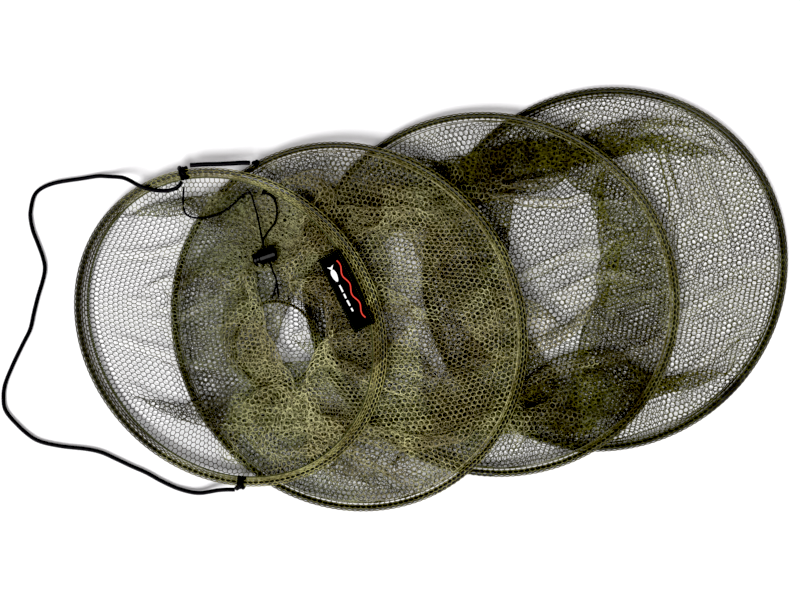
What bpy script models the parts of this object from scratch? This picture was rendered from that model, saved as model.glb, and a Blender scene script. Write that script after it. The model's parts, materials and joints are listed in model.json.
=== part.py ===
"""Collapsible fishing keep net, lying flat: four hoops, each one over the next to its right, with netting between.

Units are metres and +Z is up. The origin is on the ground, under the middle of the net.
Hoop 1 is the mouth and hoop 4 the closed bottom.
"""

import math

import bmesh
import bpy
import numpy as np
from mathutils import Matrix, Vector

# Hoops: plan centre, half the long and short axes, and the long axis's angle from +X in degrees
HOOPS = {
    1: ((-0.1909, -0.0268), (0.1570, 0.1357), -47.3),
    2: ((-0.0786, -0.0264), (0.1761, 0.1619), -56.7),
    3: ((0.0566, 0.0041), (0.1773, 0.1679), -27.4),
    4: ((0.1656, 0.0280), (0.1746, 0.1668), 42.1),
}
SEGMENTS = 40                 # facets around a hoop
THROAT_SEGMENTS = 24
WIRE_RADIUS = 0.0022          # plastic-covered spring wire
SLEEVE_INNER, SLEEVE_OUTER = 0.00245, 0.00275
SLEEVE_FACET = {1: 7, 2: 33, 3: 28, 4: 34}   # the hoop facets where the joint sleeves start; each covers two
HOOP_STACKING = 0.0105        # one hoop's centreline over the next where they cross
GAP = 0.0003                  # clearance between neighbouring solids

# Netting, as plain skins
HEM_RADIUS, HEM_THICKNESS = 0.0033, 0.0004
HEM_OPENING = 38.0            # degrees each way on the hem's inner side
HEM_OUTER = HEM_RADIUS + HEM_THICKNESS / 2
NET_THICKNESS = 0.0008
NET_OFFSET = HEM_OUTER + 2 * GAP + NET_THICKNESS / 2
NET_ROWS = 3
LOWEST_RIM = NET_OFFSET + NET_THICKNESS / 2 + GAP

# Mouth
LIP, LIP_HALF_GAP = 0.0100, 0.0004
LIP_AT_KNOTS = 0.5            # the folded hem narrows to this share of its width at the handle's knots
SEAM_RADIUS = 0.0005
TOP_KNOT, BOTTOM_KNOT = 103.3, -90.2
KNOT_INNER, KNOT_OUTER, KNOT_LENGTH = 0.0039, 0.0062, 0.0090
KNOT_FROM, KNOT_TO = -32.0, 140.0   # round the rim, from below on the outside to its top on the inside
LABEL_LENGTH, LABEL_WIDTH, LABEL_THICKNESS = 0.077, 0.022, 0.0006
LABEL_PLACE, LABEL_TURN, LABEL_ROLL = (-0.0800, 0.0070), -63.0, 9.0
LABEL_RISE = 0.0040           # its middle over the mouth's plane

# Throat: the inner funnel's small opening, with its drawstring
THROAT_CENTRE = (-0.1475, -0.0430)
THROAT_HALF_X, THROAT_HALF_Y = 0.0385, 0.0405
THROAT_RISE = 0.0035          # over hoop 2's plane
CORD_RADIUS = 0.0010
CASING_RADIUS = 0.0015

# Cord lock: its cords run along one axis and its plunger across them
LOCK_PLACE, LOCK_TURN = (-0.1550, 0.0410, 0.0222), -70.7
LOCK_LENGTH, LOCK_RADIUS, LOCK_EDGE = 0.0170, 0.0070, 0.0012
BORE_RADIUS, BORE_FLOOR = 0.0047, 0.0026
STEM_RADIUS, STEM_FOOT = 0.0043, 0.0034
HEAD_RADIUS, HEAD_LENGTH, HEAD_STANDS_OUT = 0.0058, 0.0030, 0.0026
PLUNGER_TRAVEL = 0.0020
HOLE_WIDTH, HOLE_HEIGHT = 0.0030, 0.0052
CORD_SPREAD = 0.0012          # each cord over and under the hole's middle
SPRING_RADIUS, SPRING_WIRE, SPRING_TURNS = 0.0032, 0.00025, 3

# Handle rope
ROPE_RADIUS = 0.0020
TAIL_RADIUS = 0.0022
POINT_SPACING = 2.6           # in diameters, along a rope

HANDLE_ROUTE = [
    (-0.2362, 0.1108, 0.0192), (-0.2386, 0.1074, 0.0186), (-0.2433, 0.1042, 0.0175), (-0.2509, 0.1025, 0.0168),
    (-0.2614, 0.1029, 0.0176), (-0.2680, 0.1043, 0.0185), (-0.2747, 0.1063, 0.0191), (-0.2803, 0.1092, 0.0186),
    (-0.2861, 0.1124, 0.0167), (-0.2918, 0.1148, 0.0139), (-0.2975, 0.1158, 0.0110), (-0.3032, 0.1163, 0.0082),
    (-0.3099, 0.1168, 0.0056), (-0.3165, 0.1172, 0.0036), (-0.3251, 0.1162, 0.0024), (-0.3336, 0.1148, 0.0021),
    (-0.3526, 0.1120, 0.0021), (-0.3640, 0.1091, 0.0021), (-0.3735, 0.1044, 0.0021), (-0.3792, 0.0977, 0.0021),
    (-0.3820, 0.0863, 0.0021), (-0.3825, 0.0778, 0.0021), (-0.3801, 0.0654, 0.0021), (-0.3754, 0.0531, 0.0021),
    (-0.3706, 0.0398, 0.0021), (-0.3687, 0.0293, 0.0021), (-0.3706, 0.0179, 0.0021), (-0.3754, 0.0018, 0.0021),
    (-0.3792, -0.0134, 0.0021), (-0.3828, -0.0292, 0.0021), (-0.3900, -0.0438, 0.0021), (-0.3991, -0.0628, 0.0021),
    (-0.4067, -0.0818, 0.0021), (-0.4082, -0.0961, 0.0021), (-0.4056, -0.1075, 0.0021), (-0.3953, -0.1198, 0.0021),
    (-0.3830, -0.1308, 0.0021), (-0.3716, -0.1367, 0.0021), (-0.3526, -0.1407, 0.0021), (-0.3288, -0.1434, 0.0021),
    (-0.3146, -0.1466, 0.0021), (-0.3003, -0.1530, 0.0021), (-0.2861, -0.1597, 0.0021), (-0.2718, -0.1660, 0.0021),
    (-0.2576, -0.1738, 0.0021), (-0.2433, -0.1804, 0.0023), (-0.2291, -0.1844, 0.0034), (-0.2196, -0.1850, 0.0055),
    (-0.2110, -0.1836, 0.0082), (-0.2030, -0.1820, 0.0108), (-0.1950, -0.1812, 0.0129), (-0.1866, -0.1810, 0.0146),
]
TAIL_ROUTE = [
    (-0.2284, 0.1265, 0.0190), (-0.2148, 0.1273, 0.0193), (-0.2020, 0.1276, 0.0195), (-0.1890, 0.1282, 0.0198),
    (-0.1780, 0.1288, 0.0202), (-0.1716, 0.1286, 0.0206),
]
TAIL_KNOT_PLACE, TAIL_KNOT_RADIUS = (-0.1660, 0.1283, 0.0212), 0.0031

# The drawstring's first run: from the mouth's top knot to the lock; its second: from the lock to its end knot
LEAD_ROUTE = [
    (-0.2345, 0.1060, 0.0160), (-0.2354, 0.0960, 0.0142), (-0.2352, 0.0872, 0.0135), (-0.2327, 0.0806, 0.0136),
    (-0.2258, 0.0772, 0.0143), (-0.2150, 0.0769, 0.0150), (-0.2025, 0.0797, 0.0150), (-0.1892, 0.0882, 0.0157),
    (-0.1795, 0.0972, 0.0172), (-0.1728, 0.1010, 0.0184), (-0.1694, 0.0956, 0.0190), (-0.1666, 0.0860, 0.0196),
    (-0.1640, 0.0760, 0.0206), (-0.1618, 0.0660, 0.0216),
]
RETURN_ROUTE = [
    (-0.1560, 0.1000, 0.0175), (-0.1500, 0.0960, 0.0186), (-0.1468, 0.0890, 0.0193), (-0.1462, 0.0800, 0.0198),
    (-0.1480, 0.0720, 0.0201), (-0.1540, 0.0640, 0.0204),
]
END_KNOT_RADIUS = 0.0022

# Colours
OLIVE = (0.145, 0.165, 0.045)
DARK_OLIVE = (0.075, 0.085, 0.030)
BLACK_CORD = (0.012, 0.012, 0.013)
BLACK_PLASTIC = (0.020, 0.020, 0.020)
WIRE_COVER = (0.030, 0.034, 0.026)
STEEL = (0.10, 0.10, 0.11)
LABEL_BLACK = (0.010, 0.010, 0.010)


class Hoop:
    """An oval ring on the plane z = height + slope . (x, y)."""

    def __init__(self, number):
        (self.x, self.y), (self.long, self.short), turn = HOOPS[number]
        self.turn = math.radians(turn)
        self.height, self.slope = 0.0, (0.0, 0.0)

    def plan(self, degrees, out=0.0):
        a = math.radians(degrees) - self.turn
        outward = Vector((self.short * math.cos(a), self.long * math.sin(a))).normalized() * out
        x, y = self.long * math.cos(a) + outward.x, self.short * math.sin(a) + outward.y
        c, s = math.cos(self.turn), math.sin(self.turn)
        return self.x + c * x - s * y, self.y + s * x + c * y

    def level(self, x, y):
        return self.height + self.slope[0] * x + self.slope[1] * y

    def point(self, degrees, out=0.0, up=0.0):
        x, y = self.plan(degrees, out)
        return Vector((x, y, self.level(x, y) + up))

    def normal(self):
        return Vector((-self.slope[0], -self.slope[1], 1.0)).normalized()

    def inside(self, x, y):
        c, s = math.cos(self.turn), math.sin(self.turn)
        dx, dy = x - self.x, y - self.y
        return ((c * dx + s * dy) / self.long) ** 2 + ((c * dy - s * dx) / self.short) ** 2 < 1.0

    def lean_on(self, below):
        """Lie over the hoop below where the two rims cross, and on the ground at the lowest point of the rim."""
        angles = [k / 4 for k in range(1441)]
        within = [below.inside(*self.plan(a)) for a in angles]
        crossings = [self.plan(a) for a, p, q in zip(angles, within, within[1:]) if p != q]
        lowest = self.plan(180.0)
        for _ in range(12):
            rows = [(1.0, x, y) for x, y in (*crossings, lowest)]
            levels = [below.level(x, y) + HOOP_STACKING for x, y in crossings] + [LOWEST_RIM]
            self.height, *self.slope = (float(v) for v in np.linalg.solve(rows, levels))
            lowest = min((self.plan(a) for a in angles), key=lambda p: self.level(*p))


def stack_hoops():
    hoops = {n: Hoop(n) for n in HOOPS}
    hoops[4].height = HEM_OUTER + GAP
    for n in (3, 2, 1):
        hoops[n].lean_on(hoops[n + 1])
    return hoops


# Helpers

def collection(name):
    group = bpy.data.collections.new(name)
    bpy.context.scene.collection.children.link(group)
    return group


def material(name, colour, roughness, metallic=0.0):
    mat = bpy.data.materials.new(name)
    mat.use_nodes = True
    shader = mat.node_tree.nodes["Principled BSDF"]
    shader.inputs["Base Color"].default_value = (*colour, 1.0)
    shader.inputs["Roughness"].default_value = roughness
    shader.inputs["Metallic"].default_value = metallic
    return mat


def add(group, name, data, mat, frame=Matrix.Identity(4)):
    obj = bpy.data.objects.new(name, data)
    obj.data.materials.append(mat)
    obj.matrix_world = frame
    group.objects.link(obj)
    return obj


def round_shading(obj, degrees=35.0):
    obj.data.shade_smooth()
    obj.data.set_sharp_from_angle(angle=math.radians(degrees))


def wire(group, name, points, radius, mat, cyclic=False, sides=2):
    """A tube along points."""
    curve = bpy.data.curves.new(name, "CURVE")
    curve.dimensions = "3D"
    spline = curve.splines.new("POLY")
    spline.points.add(len(points) - 1)
    for slot, point in zip(spline.points, points):
        slot.co = (*point, 1.0)
    spline.use_cyclic_u = cyclic
    curve.bevel_depth = radius
    curve.bevel_resolution = sides
    curve.use_fill_caps = not cyclic
    return add(group, name, curve, mat)


def smooth_route(points, spacing):
    """Evenly spaced points on a smooth curve through the route's own points."""
    p = [Vector(q) for q in points]
    p = [2 * p[0] - p[1], *p, 2 * p[-1] - p[-2]]
    dense = [p[1]]
    for a, b, c, d in zip(p, p[1:], p[2:], p[3:]):
        for k in range(1, 13):
            t = k / 12
            dense.append(0.5 * (2 * b + (c - a) * t + (2 * a - 5 * b + 4 * c - d) * t ** 2
                                + (3 * b - a - 3 * c + d) * t ** 3))
    along = np.concatenate([[0.0], np.cumsum([(b - a).length for a, b in zip(dense, dense[1:])])])
    count = max(2, round(along[-1] / spacing))
    stations = np.linspace(0.0, along[-1], count + 1)
    return [tuple(np.interp(s, along, [q[i] for q in dense]) for i in range(3)) for s in stations]


def skin(group, name, rows, mat, thickness):
    """A sheet through closed rows of points, given thickness."""
    mesh = bpy.data.meshes.new(name)
    bm = bmesh.new()
    grid = [[bm.verts.new(point) for point in row] for row in rows]
    for upper, lower in zip(grid, grid[1:]):
        for k in range(len(upper)):
            following = (k + 1) % len(upper)
            bm.faces.new((upper[k], lower[k], lower[following], upper[following]))
    bmesh.ops.recalc_face_normals(bm, faces=bm.faces)
    bm.to_mesh(mesh)
    bm.free()
    obj = add(group, name, mesh, mat)
    solidify = obj.modifiers.new("Thickness", "SOLIDIFY")
    solidify.thickness = thickness
    solidify.offset = 0.0
    return obj


def turned(group, name, profile, mat, frame, steps=24):
    """A profile of (radius, height) points, turned about the frame's Z."""
    mesh = bpy.data.meshes.new(name)
    mesh.from_pydata([(r, 0.0, z) for r, z in profile], [(k, k + 1) for k in range(len(profile) - 1)], [])
    obj = add(group, name, mesh, mat, frame)
    screw = obj.modifiers.new("Turn", "SCREW")
    screw.steps = screw.render_steps = steps
    screw.use_merge_vertices = True
    screw.merge_threshold = 0.00001
    screw.use_smooth_shade = True
    return obj


def cut(obj, cutter):
    boolean = obj.modifiers.new("Cut", "BOOLEAN")
    boolean.operation = "DIFFERENCE"
    boolean.object = cutter


def block(group, name, size, frame):
    """A box that only cuts."""
    mesh = bpy.data.meshes.new(name)
    bm = bmesh.new()
    bmesh.ops.create_cube(bm, size=1.0)
    bmesh.ops.scale(bm, vec=size, verts=bm.verts)
    bm.to_mesh(mesh)
    bm.free()
    obj = bpy.data.objects.new(name, mesh)
    obj.matrix_world = frame
    obj.hide_render = True
    obj.display_type = "WIRE"
    group.objects.link(obj)
    return obj


def ball(group, name, radius, place, mat, squash=(1.0, 1.0, 1.0)):
    mesh = bpy.data.meshes.new(name)
    bm = bmesh.new()
    bmesh.ops.create_uvsphere(bm, u_segments=12, v_segments=8, radius=radius)
    bmesh.ops.scale(bm, vec=squash, verts=bm.verts)
    bm.to_mesh(mesh)
    bm.free()
    obj = add(group, name, mesh, mat, Matrix.Translation(place))
    round_shading(obj, 80.0)
    return obj


# The hoops, their joint sleeves and the netting wrapped round them

def around(count=SEGMENTS):
    return [360.0 * k / count for k in range(count)]


def ring(group, hoop, number, mat):
    return wire(group, f"hoop_{number}", [hoop.point(a) for a in around()], WIRE_RADIUS, mat, cyclic=True, sides=1)


def joint_sleeve(group, hoop, number, mat):
    """A ferrule over the hoop's two ends: a curved tube, open at both ends."""
    stations = [360.0 * (SLEEVE_FACET[number] + k) / SEGMENTS for k in range(3)]
    radius = (SLEEVE_INNER + SLEEVE_OUTER) / 2
    rows = []
    for turn in around(10):
        c, s = math.cos(math.radians(turn)), math.sin(math.radians(turn))
        rows.append([hoop.point(a, radius * c, radius * s) for a in stations])
    mesh = bpy.data.meshes.new(f"hoop_{number}_joint_sleeve")
    bm = bmesh.new()
    grid = [[bm.verts.new(point) for point in row] for row in rows]
    for k, row in enumerate(grid):
        beside = grid[(k + 1) % len(grid)]
        for j in range(len(row) - 1):
            bm.faces.new((row[j], row[j + 1], beside[j + 1], beside[j]))
    bmesh.ops.recalc_face_normals(bm, faces=bm.faces)
    bm.to_mesh(mesh)
    bm.free()
    obj = add(group, mesh.name, mesh, mat)
    solidify = obj.modifiers.new("Wall", "SOLIDIFY")
    solidify.thickness = SLEEVE_OUTER - SLEEVE_INNER
    solidify.offset = 0.0
    return obj


def wrap_profile():
    """The netting round a hoop, open on the inside: (out, up) points."""
    turns = [180.0 - HEM_OPENING - (360.0 - 2 * HEM_OPENING) * k / 6 for k in range(7)]
    return [(HEM_RADIUS * math.cos(math.radians(t)), HEM_RADIUS * math.sin(math.radians(t))) for t in turns]


def hem(group, hoop, number, mat):
    rows = [[hoop.point(a, out, up) for a in around()] for out, up in wrap_profile()]
    return skin(group, f"hoop_{number}_hem", rows, mat, HEM_THICKNESS)


def lip_width(degrees):
    """The folded hem's reach inwards, which narrows at the two handle knots."""
    middle = (TOP_KNOT + BOTTOM_KNOT) / 2
    away = math.sin(math.radians(degrees - middle) + math.pi / 2) ** 2
    return LIP * (LIP_AT_KNOTS + (1.0 - LIP_AT_KNOTS) * away)


def mouth_hem(group, hoop, mat):
    rows = [[hoop.point(a, -lip_width(a), LIP_HALF_GAP) for a in around()]]
    rows += [[hoop.point(a, out, up) for a in around()] for out, up in wrap_profile()]
    rows += [[hoop.point(a, -lip_width(a), -LIP_HALF_GAP) for a in around()]]
    return skin(group, "mouth_hem", rows, mat, HEM_THICKNESS)


def hem_seam(group, hoop, mat):
    reach = GAP + SEAM_RADIUS
    points = [hoop.point(a, -lip_width(a) - reach) for a in around()]
    return wire(group, "mouth_hem_seam", points, SEAM_RADIUS, mat, cyclic=True, sides=1)


# The net's walls

def section_net(group, upper, lower, number, mat):
    """One wall of the net: from under the upper hoop to the top of the lower one."""
    rows = []
    for k in range(NET_ROWS + 1):
        t = k / NET_ROWS
        rows.append([upper.point(a, up=-NET_OFFSET).lerp(lower.point(a, up=NET_OFFSET), t) for a in around()])
    return skin(group, f"section_{number}_net", rows, mat, NET_THICKNESS)


def throat_point(hoop, degrees, out=0.0, up=0.0):
    c, s = math.cos(math.radians(degrees)), math.sin(math.radians(degrees))
    x = THROAT_CENTRE[0] + (THROAT_HALF_X + out) * c
    y = THROAT_CENTRE[1] + (THROAT_HALF_Y + out) * s
    return Vector((x, y, hoop.level(x, y) + THROAT_RISE + up))


def throat_net(group, hoop, mat):
    """The funnel inside hoop 2, from its hem to the casing of the small opening."""
    inset = HEM_OUTER + GAP
    start = CASING_RADIUS + HEM_THICKNESS / 2 + GAP
    rows = []
    for k in range(NET_ROWS + 1):
        t = k / NET_ROWS
        rows.append([hoop.point(a, -inset).lerp(throat_point(hoop, a, start), t) for a in around()])
    return skin(group, "throat_net", rows, mat, NET_THICKNESS)


def throat_casing(group, hoop, mat):
    """The tunnel hem that the drawstring runs in, open on its inner side."""
    turns = [180.0 - HEM_OPENING - (360.0 - 2 * HEM_OPENING) * k / 5 for k in range(6)]
    rows = []
    for turn in turns:
        out, up = (CASING_RADIUS * f(math.radians(turn)) for f in (math.cos, math.sin))
        rows.append([throat_point(hoop, a, out, up) for a in around(THROAT_SEGMENTS)])
    return skin(group, "throat_casing", rows, mat, HEM_THICKNESS)


def throat_drawstring(group, hoop, mat):
    return wire(group, "throat_drawstring", [throat_point(hoop, a) for a in around(THROAT_SEGMENTS)], CORD_RADIUS, mat,
                cyclic=True, sides=1)


def bottom_net(group, hoop, mat):
    """The closed end: a flat disc inside the bottom hoop, on the ground."""
    curve = bpy.data.curves.new("bottom_net", "CURVE")
    curve.dimensions = "2D"
    curve.fill_mode = "BOTH"
    curve.extrude = NET_THICKNESS / 2
    spline = curve.splines.new("POLY")
    spline.points.add(SEGMENTS - 1)
    for slot, a in zip(spline.points, around()):
        slot.co = (*hoop.plan(a, -HEM_OUTER - GAP), 0.0, 1.0)
    spline.use_cyclic_u = True
    return add(group, "bottom_net", curve, mat, Matrix.Translation((0.0, 0.0, NET_THICKNESS / 2)))


# The mouth's fittings

def rim_frame(hoop, degrees):
    """X outwards, Y up and Z along the rim."""
    origin = hoop.point(degrees)
    along = (hoop.point(degrees - 1.0) - hoop.point(degrees + 1.0)).normalized()
    outward = hoop.normal().cross(along)
    return Matrix.Translation(origin) @ Matrix((outward, along.cross(outward), along)).transposed().to_4x4()


def handle_knot(group, name, hoop, degrees, mat):
    """A lashing of rope round the rim: a thick C, open on the inside and below, where the netting leaves."""
    curve = bpy.data.curves.new(name, "CURVE")
    curve.dimensions = "2D"
    curve.fill_mode = "BOTH"
    curve.extrude = KNOT_LENGTH / 2
    turns = [KNOT_FROM + (KNOT_TO - KNOT_FROM) * k / 9 for k in range(10)]
    outline = [(KNOT_OUTER, t) for t in turns] + [(KNOT_INNER, t) for t in reversed(turns)]
    spline = curve.splines.new("POLY")
    spline.points.add(len(outline) - 1)
    for slot, (radius, turn) in zip(spline.points, outline):
        slot.co = (radius * math.cos(math.radians(turn)), radius * math.sin(math.radians(turn)), 0.0, 1.0)
    spline.use_cyclic_u = True
    return add(group, name, curve, mat, rim_frame(hoop, degrees))


def label(group, hoop, mat):
    x, y = LABEL_PLACE
    up = hoop.normal()
    lengthways = Vector((math.cos(math.radians(LABEL_TURN)), math.sin(math.radians(LABEL_TURN)), 0.0))
    lengthways = (lengthways - up * lengthways.dot(up)).normalized()
    across = up.cross(lengthways)
    place = Vector((x, y, hoop.level(x, y) + LABEL_RISE))
    frame = Matrix.Translation(place) @ Matrix((lengthways, across, up)).transposed().to_4x4()
    frame = frame @ Matrix.Rotation(math.radians(LABEL_ROLL), 4, "X")
    mesh = bpy.data.meshes.new("label")
    bm = bmesh.new()
    bmesh.ops.create_cube(bm, size=1.0)
    bmesh.ops.scale(bm, vec=(LABEL_LENGTH, LABEL_WIDTH, LABEL_THICKNESS), verts=bm.verts)
    bm.to_mesh(mesh)
    bm.free()
    return add(group, "label", mesh, mat, frame)


# The cord lock

def lock_frame():
    """X along the plunger, Y along the cords towards the throat, Z up."""
    turn = math.radians(LOCK_TURN)
    cords = Vector((math.cos(turn), math.sin(turn), 0.0))
    plunger = cords.cross(Vector((0.0, 0.0, 1.0))).normalized()
    up = plunger.cross(cords)
    return Matrix.Translation(LOCK_PLACE) @ Matrix((plunger, cords, up)).transposed().to_4x4()


def axle_frame(frame):
    """The frame's X as the turning axis."""
    return frame @ Matrix.Rotation(math.pi / 2, 4, "Y")


def lock_barrel(group, cutters, frame, mat):
    half = LOCK_LENGTH / 2
    rim = LOCK_RADIUS - LOCK_EDGE
    profile = [
        (0.0, half), (0.0, half - BORE_FLOOR), (BORE_RADIUS, half - BORE_FLOOR), (BORE_RADIUS, -half),
        (rim, -half), (LOCK_RADIUS, -half + LOCK_EDGE), (LOCK_RADIUS, half - LOCK_EDGE), (rim, half), (0.0, half),
    ]
    profile = [(r, -z) for r, z in profile[1:]]
    obj = turned(group, "cord_lock_barrel", profile, mat, axle_frame(frame), steps=16)
    cut(obj, block(cutters, "cord_hole_cutter", (HOLE_WIDTH, 4 * LOCK_RADIUS, HOLE_HEIGHT), frame))
    return obj


def lock_plunger(group, cutters, frame, mat):
    half = LOCK_LENGTH / 2
    head_foot = half + HEAD_STANDS_OUT
    profile = [
        (0.0, head_foot + HEAD_LENGTH), (HEAD_RADIUS - 0.001, head_foot + HEAD_LENGTH),
        (HEAD_RADIUS, head_foot + HEAD_LENGTH - 0.001), (HEAD_RADIUS, head_foot), (STEM_RADIUS, head_foot),
        (STEM_RADIUS, -STEM_FOOT), (0.0, -STEM_FOOT),
    ]
    obj = turned(group, "cord_lock_plunger", profile, mat, axle_frame(frame), steps=16)
    slot = HOLE_WIDTH + PLUNGER_TRAVEL
    place = frame @ Matrix.Translation((PLUNGER_TRAVEL / 2, 0.0, 0.0))
    cut(obj, block(cutters, "plunger_slot_cutter", (slot, 4 * LOCK_RADIUS, HOLE_HEIGHT), place))
    return obj


def lock_spring(group, frame, mat):
    low = -LOCK_LENGTH / 2 + BORE_FLOOR + GAP + SPRING_WIRE
    high = -STEM_FOOT - GAP - SPRING_WIRE
    count = 8 * SPRING_TURNS
    points = []
    for k in range(count + 1):
        turn = 2 * math.pi * SPRING_TURNS * k / count
        local = (low + (high - low) * k / count, SPRING_RADIUS * math.cos(turn), SPRING_RADIUS * math.sin(turn))
        points.append(frame @ Vector(local))
    return wire(group, "cord_lock_spring", points, SPRING_WIRE, mat, sides=1)


# The cords

def throat_exit(hoop, side):
    """Where a run of the drawstring leaves the throat's casing, on the side towards the lock."""
    turn = 90.0 + 4.0 * side
    outer = CASING_RADIUS + HEM_THICKNESS / 2 + GAP + CORD_RADIUS
    return throat_point(hoop, turn, outer, outer + NET_THICKNESS)


def drawstring_routes(hoop, frame):
    """Both runs pass through the lock's hole, one over the other, and reach the throat's casing side by side."""
    over = frame @ Vector((0.0, 0.0, CORD_SPREAD))
    under = frame @ Vector((0.0, 0.0, -CORD_SPREAD))
    ahead = frame.to_3x3() @ Vector((0.0, 1.0, 0.0))
    lead = [*LEAD_ROUTE, over - ahead * 0.013, over, over + ahead * 0.013, over + ahead * 0.026]
    back = [*RETURN_ROUTE, under - ahead * 0.013, under, under + ahead * 0.013, under + ahead * 0.026]
    return lead + [throat_exit(hoop, 1.0)], back + [throat_exit(hoop, -1.0)]


def build():
    for obj in list(bpy.data.objects):
        bpy.data.objects.remove(obj)
    group, cutters = collection("keep_net"), collection("cutters")
    hoops = stack_hoops()
    mats = {
        "wire": material("wire_cover", WIRE_COVER, 0.45),
        "steel": material("blackened_steel", STEEL, 0.4, 1.0),
        "net": material("netting", OLIVE, 0.7),
        "hem": material("hem_netting", DARK_OLIVE, 0.7),
        "cord": material("black_cord", BLACK_CORD, 0.6),
        "plastic": material("black_plastic", BLACK_PLASTIC, 0.35),
        "label": material("label_cloth", LABEL_BLACK, 0.5),
    }
    for number, hoop in hoops.items():
        ring(group, hoop, number, mats["wire"])
        joint_sleeve(group, hoop, number, mats["steel"])
        if number > 1:
            hem(group, hoop, number, mats["hem"])
        if number < 4:
            section_net(group, hoop, hoops[number + 1], number, mats["net"])
    mouth_hem(group, hoops[1], mats["hem"])
    hem_seam(group, hoops[1], mats["hem"])
    bottom_net(group, hoops[4], mats["net"])
    throat_net(group, hoops[2], mats["net"])
    throat_casing(group, hoops[2], mats["hem"])
    throat_drawstring(group, hoops[2], mats["cord"])
    handle_knot(group, "handle_knot_top", hoops[1], TOP_KNOT, mats["cord"])
    handle_knot(group, "handle_knot_bottom", hoops[1], BOTTOM_KNOT, mats["cord"])
    label(group, hoops[1], mats["label"])
    wire(group, "handle_rope", smooth_route(HANDLE_ROUTE, 2 * ROPE_RADIUS * POINT_SPACING), ROPE_RADIUS, mats["cord"])
    wire(group, "handle_tail", smooth_route(TAIL_ROUTE, 2 * TAIL_RADIUS * POINT_SPACING), TAIL_RADIUS, mats["cord"])
    ball(group, "handle_tail_knot", TAIL_KNOT_RADIUS, TAIL_KNOT_PLACE, mats["cord"], (1.15, 1.0, 0.9))
    frame = lock_frame()
    lock_barrel(group, cutters, frame, mats["plastic"])
    lock_plunger(group, cutters, frame, mats["plastic"])
    lock_spring(group, frame, mats["steel"])
    lead, back = drawstring_routes(hoops[2], frame)
    spacing = 2 * CORD_RADIUS * POINT_SPACING
    wire(group, "drawstring_lead", smooth_route(lead, spacing), CORD_RADIUS, mats["cord"])
    wire(group, "drawstring_return", smooth_route(back, spacing), CORD_RADIUS, mats["cord"])
    end = Vector(RETURN_ROUTE[0]) + Vector((-END_KNOT_RADIUS - GAP, 0.0008, 0.0))
    ball(group, "drawstring_end_knot", END_KNOT_RADIUS, end, mats["cord"])


build()
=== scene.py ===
"""A collapsible fishing keep net lying flat: its netting, hoops, hems, ropes, knots, label and cord lock."""
import json
import math

import bpy
import numpy as np
from mathutils import Matrix, Vector

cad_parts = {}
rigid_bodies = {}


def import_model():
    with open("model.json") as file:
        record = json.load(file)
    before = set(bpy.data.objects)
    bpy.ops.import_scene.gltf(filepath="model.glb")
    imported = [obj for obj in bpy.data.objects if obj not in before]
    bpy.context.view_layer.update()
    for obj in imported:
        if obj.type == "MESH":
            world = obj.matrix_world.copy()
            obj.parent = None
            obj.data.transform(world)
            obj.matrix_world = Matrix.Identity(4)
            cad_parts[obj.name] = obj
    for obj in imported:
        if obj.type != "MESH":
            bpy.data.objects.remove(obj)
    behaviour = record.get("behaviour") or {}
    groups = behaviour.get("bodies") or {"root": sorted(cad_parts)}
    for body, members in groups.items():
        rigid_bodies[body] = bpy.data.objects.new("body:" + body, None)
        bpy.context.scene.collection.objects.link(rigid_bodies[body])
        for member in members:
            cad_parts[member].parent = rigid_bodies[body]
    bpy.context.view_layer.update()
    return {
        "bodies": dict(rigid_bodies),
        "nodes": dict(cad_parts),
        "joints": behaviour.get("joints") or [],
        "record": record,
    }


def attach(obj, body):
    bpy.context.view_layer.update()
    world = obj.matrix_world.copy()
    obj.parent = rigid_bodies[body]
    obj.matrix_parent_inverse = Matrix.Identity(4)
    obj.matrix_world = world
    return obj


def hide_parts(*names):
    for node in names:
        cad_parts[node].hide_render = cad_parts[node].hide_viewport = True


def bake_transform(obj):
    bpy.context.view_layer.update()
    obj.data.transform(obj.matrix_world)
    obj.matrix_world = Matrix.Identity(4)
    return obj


# Camera, level over the hoops, looking straight down, and light: each sun's name, place, angle and power
VIEW_CENTRE = (-0.0296, -0.0011, 0.012)
VIEW_WIDTH = 0.760
CAMERA_HEIGHT = 2.0
EXPOSURE, BLACK_LEVEL = 0.05, 0.025
SKY_COLOUR, SKY_STRENGTH = (1.0, 0.965, 0.975, 1.0), 0.42
SUNS = (("window", (-0.8, -1.5, 2.5), 28.0, 3.3), ("fill", (1.6, 1.6, 2.8), 50.0, 0.5))
FLOOR_HALF, FLOOR_LEVEL = 6, -0.0002

# Hoops: centre, half the long and short axes, the long axis's angle in radians, height and slope of its plane
HOOPS = {
    1: (-0.1909, -0.0268, 0.1570, 0.1357, -0.825541, 0.036245, 0.091121, 0.017787),
    2: (-0.0786, -0.0264, 0.1761, 0.1619, -0.989602, 0.020577, 0.060624, 0.015065),
    3: (0.0566, 0.0041, 0.1773, 0.1679, -0.478220, 0.009767, 0.037937, 0.008694),
    4: (0.1656, 0.0280, 0.1746, 0.1668, 0.734784, 0.003800, 0.0, 0.0),
}
CAD_LOOKS = {"cord_lock_barrel": "plastic", "cord_lock_plunger": "plastic", "cord_lock_spring": "steel"}
BODIES = {1: "mouth", 2: "second_hoop", 3: "third_hoop", 4: "bottom_hoop"}
WIRE_RADIUS = 0.0022
SLEEVE_AT = {1: 63.0, 2: 297.0, 3: 252.0, 4: 306.0}    # degrees, where the joint sleeve starts
SLEEVE_SPAN, SLEEVE_RADIUS = 18.0, 0.0027
HEM_RADIUS = 0.0033
LIP, LIP_AT_KNOTS = 0.0100, 0.5    # how far the mouth hem reaches in, and its share of that at the knots
BODY_HEM_LIP = 0.0052
HEM_ROWS = {1: 12, 2: 8, 3: 8, 4: 8}
TOP_KNOT, BOTTOM_KNOT = 103.3, -90.2

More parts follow.
